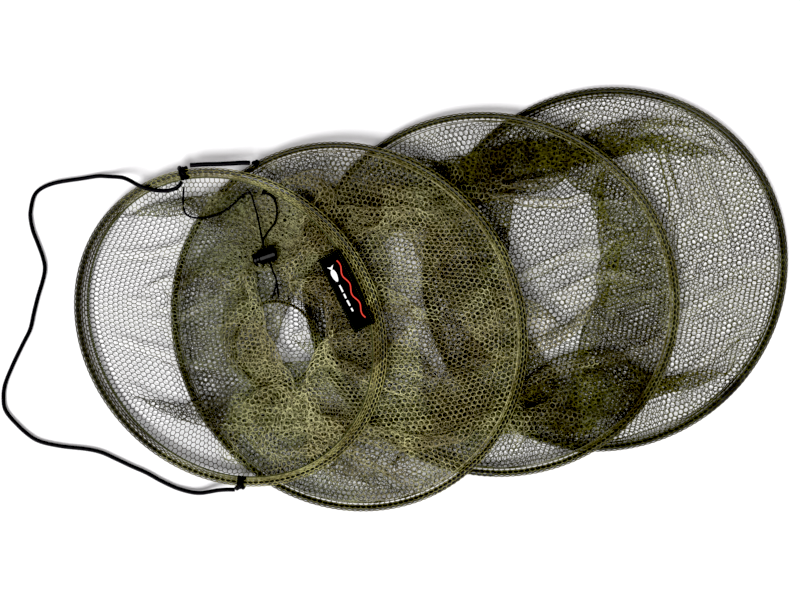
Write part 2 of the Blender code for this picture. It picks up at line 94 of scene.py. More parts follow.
# Netting
PITCH = 0.0053                # across one six-sided hole
STRAND_RADIUS = 0.00042
LOWEST_STRAND = 0.0008        # a strand's middle, lying on the ground
AROUND = 120                  # points round a wall's grid
ROW_STEP = 0.0088             # between its rows
SEWN_IN, SEWN_UNDER, SEWN_OVER = 0.0048, 0.0010, 0.0012    # a wall's edges: inside, under and over the hoops
RING_EDGE, RING_TOP = 0.044, 0.0052    # the throat's ring: its outer radius, and its top over the funnel
LOCK_POCKET = (-0.1780, 0.0660, 0.066, 0.046)    # where slack passes under the cord lock: centre, halves
ROUND_GIVE = 0.16             # how far the holes close up round the net before the netting folds
THROAT_CENTRE, THROAT_HALF, THROAT_RISE = (-0.1475, -0.0430), (0.0385, 0.0405), 0.0035
FUNNEL_LENGTH, FUNNEL_TOP_ROUND, FUNNEL_END_ROUND = 0.215, 1.062, 0.300
# Each wall of netting, by the hoop above it. reach is how far in its fold lies, as a share of what its length
# allows, and it is less by "less" round the angle less_at, over less_over degrees. wander is how uneven the
# fold is, and rise how high the pleats stand before they fall. highest is the top of the slack, down_give how
# far the holes close up down the net before it folds, and ridges are where it stands up, in plan.
WALLS = {
    1: {"length": 0.272, "reach": 0.98, "less": 0.10, "less_at": 0.0, "less_over": 60.0,
        "wander": 0.2, "pleats": (3, 5, 7), "rise": 0.7, "highest": 0.0285, "down_give": 0.0,
        "ridges": [[(-0.2386, 0.0797), (-0.1550, -0.0011)],
                   [(-0.1380, 0.0640), (-0.1340, -0.0010), (-0.1080, -0.0440)],
                   [(-0.1008, -0.0438), (-0.0486, -0.0343)],
                   [(-0.2150, -0.0550), (-0.1700, -0.1050)]]},
    2: {"length": 0.300, "reach": 0.82, "less": 0.24, "less_at": 115.0, "less_over": 20.0,
        "wander": 1.0, "pleats": (3, 5, 8), "rise": 1.0, "highest": 0.0285, "down_give": 0.0,
        "ridges": [[(-0.0543, 0.0388), (0.0122, 0.0711), (0.0440, 0.0840)],
                   [(-0.0837, 0.1253), (-0.0172, 0.0996), (0.0027, 0.0816)],
                   [(-0.0134, 0.0227), (-0.0087, -0.0305)],
                   [(-0.0068, -0.0277), (0.0800, -0.0239)],
                   [(-0.0700, -0.0900), (0.0100, -0.1250)]]},
    3: {"length": 0.282, "reach": 0.88, "less": 0.45, "less_at": 58.0, "less_over": 26.0,
        "wander": 0.5, "pleats": (3, 4, 7), "rise": 0.4, "highest": 0.0095, "down_give": 0.35,
        "ridges": [[(0.0379, 0.1034), (0.1024, 0.1290)],
                   [(0.1604, 0.1224), (0.2300, 0.1440)],
                   [(0.0400, -0.0500), (0.1100, -0.0900)]]},
}
# A thread's reaches: points apart, its share of the straight length, and how hard it pulls and pushes
REACHES = ((1, 1.0, 0.9, 0.8), (2, 0.92, 0.0, 0.35), (4, 0.72, 0.0, 0.12))
SLANT_STRETCH, SLANT_SQUEEZE = 0.25, 0.15    # the same across a hole's corners
KEPT_SPEED = 0.92                            # from one step of the fall to the next
SHAKE, SHAKEN_SHARE = 0.00012, 0.6           # a shake that dies away, and the share of the steps that have it
WALL_GRAVITY, FUNNEL_GRAVITY = 0.00012, 0.00010
HELD_ROWS = 2                                # at each end, that no limit moves
HOOP_CLEARANCE = 0.0052                      # from a hoop's wire to the middle of a strand
START_ROOM = 0.030                           # over a wall's ceiling, when its fall starts

# Ropes
ROPE_RADIUS, TAIL_RADIUS, CORD_RADIUS = 0.0020, 0.0022, 0.0010
HANDLE_ROUTE = [
    (-0.2362, 0.1108, 0.0192), (-0.2386, 0.1074, 0.0186), (-0.2433, 0.1042, 0.0175),
    (-0.2509, 0.1025, 0.0168), (-0.2614, 0.1029, 0.0176), (-0.2680, 0.1043, 0.0185),
    (-0.2747, 0.1063, 0.0191), (-0.2803, 0.1092, 0.0186), (-0.2861, 0.1124, 0.0167),
    (-0.2918, 0.1148, 0.0139), (-0.2975, 0.1158, 0.0110), (-0.3032, 0.1163, 0.0082),
    (-0.3099, 0.1168, 0.0056), (-0.3165, 0.1172, 0.0036), (-0.3251, 0.1162, 0.0024),
    (-0.3336, 0.1148, 0.0021), (-0.3526, 0.1120, 0.0021), (-0.3640, 0.1091, 0.0021),
    (-0.3735, 0.1044, 0.0021), (-0.3792, 0.0977, 0.0021), (-0.3820, 0.0863, 0.0021),
    (-0.3825, 0.0778, 0.0021), (-0.3801, 0.0654, 0.0021), (-0.3754, 0.0531, 0.0021),
    (-0.3706, 0.0398, 0.0021), (-0.3687, 0.0293, 0.0021), (-0.3706, 0.0179, 0.0021),
    (-0.3754, 0.0018, 0.0021), (-0.3792, -0.0134, 0.0021), (-0.3828, -0.0292, 0.0021),
    (-0.3900, -0.0438, 0.0021), (-0.3991, -0.0628, 0.0021), (-0.4067, -0.0818, 0.0021),
    (-0.4082, -0.0961, 0.0021), (-0.4056, -0.1075, 0.0021), (-0.3953, -0.1198, 0.0021),
    (-0.3830, -0.1308, 0.0021), (-0.3716, -0.1367, 0.0021), (-0.3526, -0.1407, 0.0021),
    (-0.3288, -0.1434, 0.0021), (-0.3146, -0.1466, 0.0021), (-0.3003, -0.1530, 0.0021),
    (-0.2861, -0.1597, 0.0021), (-0.2718, -0.1660, 0.0021), (-0.2576, -0.1738, 0.0021),
    (-0.2433, -0.1804, 0.0023), (-0.2291, -0.1844, 0.0034), (-0.2196, -0.1850, 0.0055),
    (-0.2110, -0.1836, 0.0082), (-0.2030, -0.1820, 0.0108), (-0.1950, -0.1812, 0.0129),
    (-0.1866, -0.1810, 0.0146),
]
TAIL_ROUTE = [
    (-0.2284, 0.1265, 0.0190), (-0.2148, 0.1273, 0.0193), (-0.2020, 0.1276, 0.0195),
    (-0.1890, 0.1282, 0.0198), (-0.1780, 0.1288, 0.0202), (-0.1716, 0.1286, 0.0206),
]
TAIL_KNOT = (-0.1660, 0.1283, 0.0212)
LEAD_ROUTE = [
    (-0.2345, 0.1060, 0.0160), (-0.2354, 0.0960, 0.0142), (-0.2352, 0.0872, 0.0135),
    (-0.2327, 0.0806, 0.0136), (-0.2258, 0.0772, 0.0143), (-0.2150, 0.0769, 0.0150),
    (-0.2025, 0.0797, 0.0150), (-0.1892, 0.0882, 0.0157), (-0.1795, 0.0972, 0.0172),
    (-0.1728, 0.1010, 0.0184), (-0.1694, 0.0956, 0.0190), (-0.1666, 0.0860, 0.0196),
    (-0.1640, 0.0760, 0.0206), (-0.1618, 0.0660, 0.0216), (-0.1593, 0.0533, 0.0234),
    (-0.1550, 0.0410, 0.0234), (-0.1507, 0.0287, 0.0234), (-0.1464, 0.0165, 0.0234),
    (-0.1504, 0.0004, 0.0188),
]
RETURN_ROUTE = [
    (-0.1560, 0.1000, 0.0175), (-0.1500, 0.0960, 0.0186), (-0.1468, 0.0890, 0.0193),
    (-0.1462, 0.0800, 0.0198), (-0.1480, 0.0720, 0.0201), (-0.1540, 0.0640, 0.0204),
    (-0.1593, 0.0533, 0.0210), (-0.1550, 0.0410, 0.0210), (-0.1507, 0.0287, 0.0210),
    (-0.1464, 0.0165, 0.0210), (-0.1446, 0.0004, 0.0191),
]
END_KNOT = (-0.1585, 0.1008, 0.0175)

# Label
LABEL_SIZE = (0.077, 0.022, 0.0006)
DESIGN_LEVEL = LABEL_SIZE[2] / 2 + 0.00006    # over the cloth's middle
LABEL_PLACE, LABEL_TURN, LABEL_ROLL, LABEL_RISE = (-0.0800, 0.0070), -63.0, 9.0, 0.0040


# Hoops as arrays

def plan(number, degrees, out=0.0):
    """Points on a hoop's outline in plan, moved outwards."""
    x, y, long, short, turn = HOOPS[number][:5]
    a = np.radians(np.asarray(degrees, float)) - turn
    nx, ny = short * np.cos(a), long * np.sin(a)
    size = np.hypot(nx, ny)
    px, py = long * np.cos(a) + out * nx / size, short * np.sin(a) + out * ny / size
    c, s = math.cos(turn), math.sin(turn)
    return x + c * px - s * py, y + s * px + c * py


def level(number, x, y):
    """The height of a hoop's plane."""
    height, slope_x, slope_y = HOOPS[number][5:]
    return height + slope_x * x + slope_y * y


def rim(number, degrees, out=0.0, up=0.0):
    """Points on a hoop, moved outwards and up."""
    x, y = plan(number, degrees, out)
    return np.stack([x, y, level(number, x, y) + up], axis=-1)


def hoop_length(number):
    return math.pi * (HOOPS[number][2] + HOOPS[number][3])


def outside(number, x, y):
    """Roughly how far a point in plan is outside a hoop's outline; negative inside."""
    cx, cy, long, short, turn = HOOPS[number][:5]
    c, s = math.cos(turn), math.sin(turn)
    dx, dy = c * (x - cx) + s * (y - cy), c * (y - cy) - s * (x - cx)
    a = np.arctan2(dy / short, dx / long)
    return np.hypot(dx, dy) - np.hypot(long * np.cos(a), short * np.sin(a))


# Meshes

def mesh_object(name, points, material, *face_groups, smooth=True):
    """An object from its points and one or more (n, 3) or (n, 4) arrays of faces."""
    mesh = bpy.data.meshes.new(name)
    points = np.asarray(points, np.float32).reshape(-1, 3)
    groups = [np.asarray(group, np.int32) for group in face_groups]
    corners = np.concatenate([group.ravel() for group in groups])
    sizes = np.concatenate([np.full(len(group), group.shape[1], np.int32) for group in groups])
    mesh.vertices.add(len(points))
    mesh.vertices.foreach_set("co", points.ravel())
    mesh.loops.add(len(corners))
    mesh.loops.foreach_set("vertex_index", corners)
    mesh.polygons.add(len(sizes))
    mesh.polygons.foreach_set("loop_start", (np.cumsum(sizes) - sizes).astype(np.int32))
    mesh.polygons.foreach_set("use_smooth", np.full(len(sizes), smooth))
    mesh.update(calc_edges=True)
    mesh.materials.append(material)
    obj = bpy.data.objects.new(name, mesh)
    bpy.context.scene.collection.objects.link(obj)
    return obj


def unit(vectors):
    return vectors / np.maximum(np.linalg.norm(vectors, axis=-1, keepdims=True), 1e-9)


def strands(name, points, edges, radius, material):
    """A short three-sided prism along each edge."""
    sides = 3
    p, q = points[edges[:, 0]], points[edges[:, 1]]
    along = unit(q - p)
    side = np.cross(along, (0.0, 0.0, 1.0))
    flat = np.linalg.norm(side, axis=1, keepdims=True)
    side = np.where(flat > 0.05, side / np.maximum(flat, 1e-9), (1.0, 0.0, 0.0))
    over = np.cross(side, along)
    rings = []
    for end in (p - along * radius * 0.5, q + along * radius * 0.5):
        for k in range(sides):
            turn = 2 * math.pi * (k + 0.25) / sides
            rings.append(end + radius * (math.cos(turn) * side + math.sin(turn) * over))
    verts = np.stack(rings, axis=1).reshape(-1, 3)
    first = 2 * sides * np.arange(len(edges))[:, None]
    faces = [first + (k, (k + 1) % sides, sides + (k + 1) % sides, sides + k) for k in range(sides)]
    return mesh_object(name, verts, material, np.concatenate(faces))


def tube(name, line, radius, material, sides=12, closed=False, relief=None):
    """A tube along points. relief(ring, side) gives a surface point's share of the radius."""
    line = np.asarray(line, float)
    ahead = np.roll(line, -1, 0) - np.roll(line, 1, 0)
    if not closed:
        ahead[0], ahead[-1] = line[1] - line[0], line[-1] - line[-2]
    ahead = unit(ahead)
    side = np.zeros_like(line)
    side[0] = unit(np.cross(ahead[0], (0.0, 0.0, 1.0)))
    for k in range(1, len(line)):
        side[k] = unit(side[k - 1] - ahead[k] * side[k - 1].dot(ahead[k]))
    over = np.cross(side, ahead)
    turns = 2 * math.pi * np.arange(sides) / sides
    r = np.broadcast_to(np.asarray(radius, float), (len(line),))[:, None] * np.ones((1, sides))
    if relief is not None:
        r = r * relief(np.arange(len(line))[:, None], np.arange(sides)[None, :])
    points = line[:, None] + r[..., None] * (
        np.cos(turns)[None, :, None] * side[:, None] + np.sin(turns)[None, :, None] * over[:, None])
    points = points.reshape(-1, 3)
    walls = grid_faces(len(line), sides, closed, True)
    if closed:
        return mesh_object(name, points, material, walls)
    ring, count = np.arange(sides), len(points)
    ends = [fan(count, ring), fan(count + 1, count - sides + ring)[:, [0, 2, 1]]]
    points = np.concatenate([points, line[:1], line[-1:]])
    return mesh_object(name, points, material, walls, np.concatenate(ends))


def fan(hub, ring):
    """Triangles from one point to a ring of points."""
    return np.stack([np.full(len(ring), hub), ring, np.roll(ring, -1)], 1)


def grid_faces(rows, columns, close_rows, close_columns):
    """Quads between the points of a grid."""
    i = np.arange(rows if close_rows else rows - 1)[:, None]
    j = np.arange(columns if close_columns else columns - 1)[None, :]
    i2, j2 = (i + 1) % rows, (j + 1) % columns
    a, b, c, d = i * columns + j, i2 * columns + j, i2 * columns + j2, i * columns + j2
    return np.stack([a, b, c, d], axis=-1).reshape(-1, 4)


def smooth_route(points, spacing):
    """Evenly spaced points on a smooth curve through the route's own points."""
    p = np.array(points, float)
    p = np.concatenate([[2 * p[0] - p[1]], p, [2 * p[-1] - p[-2]]])
    dense = [p[1]]
    for near in zip(p, p[1:], p[2:], p[3:]):
        for k in range(1, 13):
            dense.append(sum(weight * point for weight, point in zip(cubic(k / 12), near)))
    dense = np.array(dense)
    along = np.concatenate([[0.0], np.cumsum(np.linalg.norm(np.diff(dense, axis=0), axis=1))])
    stations = np.linspace(0.0, along[-1], max(3, round(along[-1] / spacing)) + 1)
    return np.stack([np.interp(stations, along, dense[:, k]) for k in range(3)], axis=1)


# Materials

def set_inputs(node, **values):
    """Sets a node's inputs, named with _ for a space."""
    for key, value in values.items():
        node.inputs[key.replace("_", " ")].default_value = value
    return node


def node_material(name, **values):
    """A material, its tree and its shader, with some of the shader's inputs."""
    material = bpy.data.materials.new(name)
    material.use_nodes = True
    return material, material.node_tree, set_inputs(material.node_tree.nodes["Principled BSDF"], **values)


def add_node(tree, kind, **values):
    return set_inputs(tree.nodes.new(kind), **values)


def noise(tree, scale, detail=4.0, roughness=0.55):
    texture = add_node(tree, "ShaderNodeTexNoise", Scale=scale, Detail=detail, Roughness=roughness)
    tree.links.new(add_node(tree, "ShaderNodeTexCoord").outputs["Object"], texture.inputs["Vector"])
    return texture.outputs["Fac"]


def ramp(tree, value, stops):
    node = add_node(tree, "ShaderNodeValToRGB")
    elements = node.color_ramp.elements
    while len(elements) < len(stops):
        elements.new(0.5)
    for element, (place, colour) in zip(elements, stops):
        element.position, element.color = place, (*colour, 1.0)
    tree.links.new(value, node.inputs["Fac"])
    return node.outputs["Color"]


def grey_ramp(tree, value, *stops):
    return ramp(tree, value, [(place, (grey, grey, grey)) for place, grey in stops])


def mixed(tree, factor, a, b, mode="MIX"):
    """Two colours mixed; each of factor, a and b is a socket or a constant."""
    node = add_node(tree, "ShaderNodeMix")
    node.data_type, node.blend_type = "RGBA", mode
    for socket, value in zip((node.inputs[0], node.inputs[6], node.inputs[7]), (factor, a, b)):
        if isinstance(value, bpy.types.NodeSocket):
            tree.links.new(value, socket)
        elif isinstance(value, tuple):
            socket.default_value = (*value, 1.0)
        else:
            socket.default_value = value
    return node.outputs[2]


def spread_between(tree, value, low, high):
    """A value from 0 to 1, spread from low to high."""
    node = add_node(tree, "ShaderNodeMapRange", To_Min=low, To_Max=high)
    tree.links.new(value, node.inputs["Value"])
    return node.outputs["Result"]


def connect(tree, shader, colour, lumps, rough, height, strength, distance):
    """Gives a shader its colour, its roughness, spread between two values by its lumps, and its bump."""
    tree.links.new(colour, shader.inputs["Base Color"])
    tree.links.new(spread_between(tree, lumps, *rough), shader.inputs["Roughness"])
    bump = add_node(tree, "ShaderNodeBump", Strength=strength, Distance=distance)
    tree.links.new(height, bump.inputs["Height"])
    tree.links.new(bump.outputs["Normal"], shader.inputs["Normal"])


def netting_material(name, low, middle, high, shine=(1.0, 1.0, 1.0)):
    """Glossy nylon strands with yarn lumps, in random patches and panels of lighter and darker tone, with
    painted shade low in the heap, painted light high up it, and painted glints along the strands.
    """
    material, tree, shader = node_material(name, Specular_IOR_Level=0.6, Specular_Tint=(*shine, 1.0))
    where = add_node(tree, "ShaderNodeTexCoord")
    parts = add_node(tree, "ShaderNodeSeparateXYZ")
    tree.links.new(where.outputs["Object"], parts.inputs["Vector"])
    # Painted shade and light: by height, the colour goes from the dark low colour at the bottom of the heap
    # to the bright high colour at its top.
    height = add_node(tree, "ShaderNodeMapRange", From_Min=0.001, From_Max=0.026)
    tree.links.new(parts.outputs["Z"], height.inputs["Value"])
    colour = ramp(tree, height.outputs["Result"], [(0.10, low), (0.45, middle), (0.90, high)])
    broad, fine = noise(tree, 26.0, 3.0), noise(tree, 330.0, 2.0)
    brown = mixed(tree, 1.0, colour, (0.66, 0.56, 0.50), "MULTIPLY")
    colour = mixed(tree, grey_ramp(tree, broad, (0.42, 0.0), (0.62, 0.6)), colour, brown)
    # Flat panels of lighter and darker tone at random, from about half to a little over the full colour.
    panels = add_node(tree, "ShaderNodeTexVoronoi", Scale=17.0)
    tree.links.new(where.outputs["Object"], panels.inputs["Vector"])
    panel_tone = ramp(tree, panels.outputs["Color"], [(0.20, (0.46, 0.42, 0.37)), (0.45, (0.74, 0.71, 0.66)),
                                               (0.62, (1.0, 1.0, 1.0)), (0.85, (1.2, 1.18, 1.1))])
    colour = mixed(tree, 1.0, colour, panel_tone, "MULTIPLY")
    # Painted glints: in small spots along the strands the colour drops to about a third, so the rest reads as
    # lit glints.
    painted_glint_dark = mixed(tree, 1.0, colour, (0.36, 0.34, 0.32), "MULTIPLY")
    colour = mixed(tree, grey_ramp(tree, fine, (0.44, 0.0), (0.60, 1.0)), colour, painted_glint_dark)
    connect(tree, shader, colour, fine, (0.26, 0.50), noise(tree, 2600.0, 2.0), 0.5, 0.0002)
    return material


def cord_material(name, colour, grey, weave):
    """Braided or twisted fibre: matt, in one colour with a lighter one along its fibres."""
    material, tree, shader = node_material(
        name, Sheen_Weight=0.03, Sheen_Roughness=0.5, Specular_IOR_Level=0.18)
    fibres = noise(tree, weave, 4.0, 0.7)
    broad = noise(tree, 40.0, 3.0)
    mix = mixed(tree, spread_between(tree, fibres, 0.0, 0.8), colour, grey)
    mix = mixed(tree, spread_between(tree, broad, 0.0, 0.35), mix, colour)
    connect(tree, shader, mix, fibres, (0.5, 0.8), fibres, 0.45, 0.0002)
    return material


def plastic_material(name, colour, worn, scale=900.0, rough=(0.32, 0.5), gloss=0.3):
    """Moulded plastic or close-woven cloth: fine grain, with scuffs in the worn colour."""
    material, tree, shader = node_material(name, Specular_IOR_Level=gloss)
    grain = noise(tree, scale, 3.0)
    scuffs = noise(tree, 110.0, 6.0, 0.7)
    mix = mixed(tree, grey_ramp(tree, scuffs, (0.55, 0.0), (0.75, 0.5)), colour, worn)
    connect(tree, shader, mix, scuffs, rough, grain, 0.2, 0.0001)
    return material


def steel_material():
    material, tree, shader = node_material("blackened_steel", Metallic=1.0)
    stain = noise(tree, 160.0, 5.0, 0.65)
    colour = ramp(tree, stain, [(0.3, (0.030, 0.030, 0.032)), (0.7, (0.075, 0.075, 0.080))])
    connect(tree, shader, colour, stain, (0.25, 0.45), noise(tree, 1500.0, 2.0), 0.12, 0.0001)
    return material


def floor_material():
    material, tree, shader = node_material("studio_paper", Roughness=0.9, Specular_IOR_Level=0.1)
    colour = ramp(tree, noise(tree, 30.0, 4.0), [(0.3, (0.86, 0.86, 0.87)), (0.7, (0.88, 0.88, 0.89))])
    tree.links.new(colour, shader.inputs["Base Color"])
    return material


# Netting patterns

def six_sided(rows, columns, closed):
    """A grid's odd points, and its edges: chains along the rows, and links down from the odd points."""
    odd = np.add.outer(np.arange(rows), np.arange(columns)) % 2 == 1
    index = np.arange(rows * columns).reshape(rows, columns)
    chain = np.stack([index, np.roll(index, -1, 1)], -1)[:, :columns if closed else columns - 1]
    row, column = np.nonzero(odd[:-1])
    links = np.stack([index[row, column], index[row + 1, column]], -1)
    return odd, np.concatenate([chain.reshape(-1, 2), links])


def tube_lattice(cells, rows):
    """Six-sided holes round a tube: points as (u, v), and edges."""
    odd, edges = six_sided(rows, 2 * cells, True)
    u = np.broadcast_to(np.arange(2 * cells) / (2 * cells), odd.shape)
    v = (np.arange(rows)[:, None] + 0.5 + np.where(odd, 1.0, -1.0) / 6.0) / rows
    v[0], v[-1] = np.minimum(v[0], 0.35 / rows), np.maximum(v[-1], 1 - 0.35 / rows)
    return np.stack([u, v], -1).reshape(-1, 2), edges


def flat_lattice(size, keep):
    """Six-sided holes on a square, centred; keep(x, y) says at which middles the edges stay."""
    side = PITCH / math.sqrt(3)
    columns, rows = math.ceil(size / PITCH * 2) + 2, math.ceil(size / (1.5 * side)) + 2
    odd, edges = six_sided(rows, columns, False)
    x = np.broadcast_to((np.arange(columns) - columns / 2) * PITCH / 2, odd.shape)
    y = (np.arange(rows)[:, None] - rows / 2) * 1.5 * side + np.where(odd, 0.25, -0.25) * side
    points = np.stack([x, y], -1).reshape(-1, 2)
    return points, edges[keep(*points[edges].mean(1).T)]


def on_grid(grid, u, v):
    """Smooth lookup in a grid of points that closes round; u and v from 0 to 1."""
    rows, columns = grid.shape[:2]
    padded = np.concatenate([2 * grid[:1] - grid[1:2], grid, 2 * grid[-1:] - grid[-2:-1]])
    fu, fv = (u % 1.0) * columns, np.clip(v, 0, 1) * (rows - 1)
    iu, iv = np.floor(fu).astype(int), np.minimum(np.floor(fv).astype(int), rows - 2)
    out = np.zeros((len(u), 3))
    for a, wa in zip(range(-1, 3), cubic(fv - iv)):
        for b, wb in zip(range(-1, 3), cubic(fu - iu)):
            out += (wa * wb)[:, None] * padded[iv + 1 + a, (iu + b) % columns]
    return out


def cubic(t):
    """The weights of four points in a smooth curve between the middle two."""
    return ((-t + 2 * t ** 2 - t ** 3) / 2, (2 - 5 * t ** 2 + 3 * t ** 3) / 2,
            (t + 4 * t ** 2 - 3 * t ** 3) / 2, (t ** 3 - t ** 2) / 2)


# The netting's fall, as points held apart by their threads

def pull(x, free, a, b, rest, stretch, squeeze, give=0.0):
    """Moves the pairs x[a], x[b] towards their rest distance, or to within a give of it when squeezed."""
    d = x[b] - x[a]
    size = np.maximum(np.sqrt((d * d).sum(-1)), 1e-9)
    error = size - rest
    error = np.where(error > 0, error, np.minimum(error + give * rest, 0.0))
    gain = np.where(error > 0, stretch, squeeze) * error / (size * np.maximum(free[a] + free[b], 1e-9))
    move = d * gain[..., None]
    x[a] += free[a][..., None] * move
    x[b] -= free[b][..., None] * move


def settle(x, round_rest, down_rest, limits, steps, gravity, seed, down_give=0.0):
    """Lets a grid fall, its end rows held. round_rest and down_rest are the threads between its points."""
    rows, columns = x.shape[:2]
    free = np.ones((rows, columns))
    free[0] = free[-1] = 0.0
    rng = np.random.default_rng(seed)
    k, r = np.arange(columns), np.arange(rows)
    before = x.copy()
    every = slice(None)
    for step in range(steps):
        share = step / steps
        velocity = (x - before) * KEPT_SPEED
        before = x.copy()
        x = x + velocity * free[..., None]
        x[..., 2] -= gravity * free
        if step < steps * SHAKEN_SHARE:
            x[1:-1] += rng.normal(0.0, SHAKE, x[1:-1].shape) * (1 - share)
        for _ in range(3):
            for offset, near, stretch, squeeze in REACHES:
                for parity in (0, 1):
                    a = k[(k // offset) % 2 == parity]
                    ahead = (every, (a + offset) % columns)
                    pull(x, free, (every, a), ahead, round_rest * offset * near, stretch, squeeze, ROUND_GIVE)
                for parity in (0, 1):
                    a = r[:-offset][(r[:-offset] // offset) % 2 == parity]
                    below = (a + offset, every)
                    pull(x, free, (a, every), below, down_rest * offset * near, stretch, squeeze, down_give)
            for lean in (1, -1):
                for parity in (0, 1):
                    a = np.arange(parity, rows - 1, 2)
                    rest = np.sqrt(round_rest[:-1][a] ** 2 + down_rest ** 2)
                    other = np.ix_(a + 1, (k + lean) % columns)
                    pull(x, free, np.ix_(a, k), other, rest, SLANT_STRETCH, SLANT_SQUEEZE)
        x = limits(x, share)
    return x


def wall_limits(upper, floor, ceiling):
    """Keeps a wall over what it lies on, under the upper hoop, and off the hoops that it crosses."""
    def limits(x, share):
        px, py = x[..., 0], x[..., 1]
        low = floor(px, py)
        high = ceiling(px, py) + START_ROOM * (1 - share) ** 2
        inner = slice(HELD_ROWS, -HELD_ROWS)
        z = np.clip(x[..., 2], low, np.maximum(high, low + 0.0015))
        for number in HOOPS:
            away = np.abs(outside(number, px, py))
            bump = np.sqrt(np.maximum(HOOP_CLEARANCE ** 2 - away ** 2, 0.0))
            at = level(number, px, py)
            pushed = np.minimum(z, at - bump) if number <= upper else np.maximum(z, at + bump)
            z = np.where(away < HOOP_CLEARANCE, pushed, z)
        x[inner, :, 2] = np.maximum(z, 0.0009)[inner]
        return x
    return limits


def ridge_height(number, px, py):
    """How high its folds hold a wall up: just under its upper hoop along a ridge, steeply less beside it."""
    away = np.ones(px.shape)
    for line in WALLS[number]["ridges"]:
        for (ax, ay), (bx, by) in zip(line, line[1:]):
            dx, dy = bx - ax, by - ay
            t = np.clip(((px - ax) * dx + (py - ay) * dy) / (dx ** 2 + dy ** 2), 0, 1)
            away = np.minimum(away, np.hypot(px - ax - t * dx, py - ay - t * dy))
    return np.minimum(level(number, px, py) - 0.003, 0.0275) - 1.1 * away


def rising(distance, width):
    """From 0 outside to 1 inside, over a width."""
    t = np.clip(-distance / width, 0, 1)
    return t * t * (3 - 2 * t)


def over_funnel(px, py):
    """What the first wall's slack lies on: the funnel, and the throat's ring."""
    low = 0.0022 + (level(2, px, py) - 0.0005) * rising(outside(2, px, py), 0.03)
    ring = np.hypot(px - THROAT_CENTRE[0], py - THROAT_CENTRE[1]) - RING_EDGE
    return low + RING_TOP * rising(ring, 0.012)


def under_lock(px, py):
    """1 where the first wall's slack passes under the cord lock and its cords, falling to 0 around them."""
    x, y, half_x, half_y = LOCK_POCKET
    return rising(np.hypot((px - x) / half_x, (py - y) / half_y) - 1.0, 0.25)


def fold_path(p, q, length, inward):
    """How far in each column's fold point lies, for a line from p over it to q as long as length."""
    c = (q - p)[:, :2] / 2
    half = np.hypot(*c.T)
    a = np.maximum(length / 2, half * 1.02)
    b = np.sqrt(a ** 2 - half ** 2)
    cosine = (c * inward).sum(1) / np.maximum(half, 1e-9)
    return a * b / np.sqrt((b * cosine) ** 2 + a ** 2 * (1 - cosine ** 2))


def fold_direction(upper, lower, middle):
    """Which way each column runs in plan: inwards, and nearly side by side at the row's two ends."""
    start, end = np.array(HOOPS[upper][:2]), np.array(HOOPS[lower][:2])
    axis = (end - start) / np.linalg.norm(end - start)
    side = np.array([-axis[1], axis[0]])
    inward = (start + end) / 2 - middle
    along, across = inward @ axis, inward @ side
    along = along + 0.06 * np.tanh(along / 0.04)
    across = across * (0.45 + 0.55 * np.exp(-(along / 0.09) ** 2))
    return unit(along[:, None] * axis + across[:, None] * side)


def near_angle(degrees, at, width):
    """1 at one angle round a hoop, falling to 0 on both sides of it."""
    return np.exp(-(((np.asarray(degrees) - at + 180.0) % 360.0 - 180.0) / width) ** 2)


def waves(rows, seed, counts, lean):
    """Smooth random pleats over a wall's grid, from about -1 to 1."""
    rng = np.random.default_rng(seed)
    u, v = np.meshgrid(np.arange(AROUND) / AROUND, np.linspace(0, 1, rows))
    height = np.zeros((rows, AROUND))
    for count in counts:
        phase, drift, size = rng.uniform(0, 2 * math.pi), rng.normal(0, lean), rng.uniform(0.6, 1.0)
        height += size * np.sin(2 * math.pi * (count * u + drift * v) + phase)
    return height / math.sqrt(len(counts))


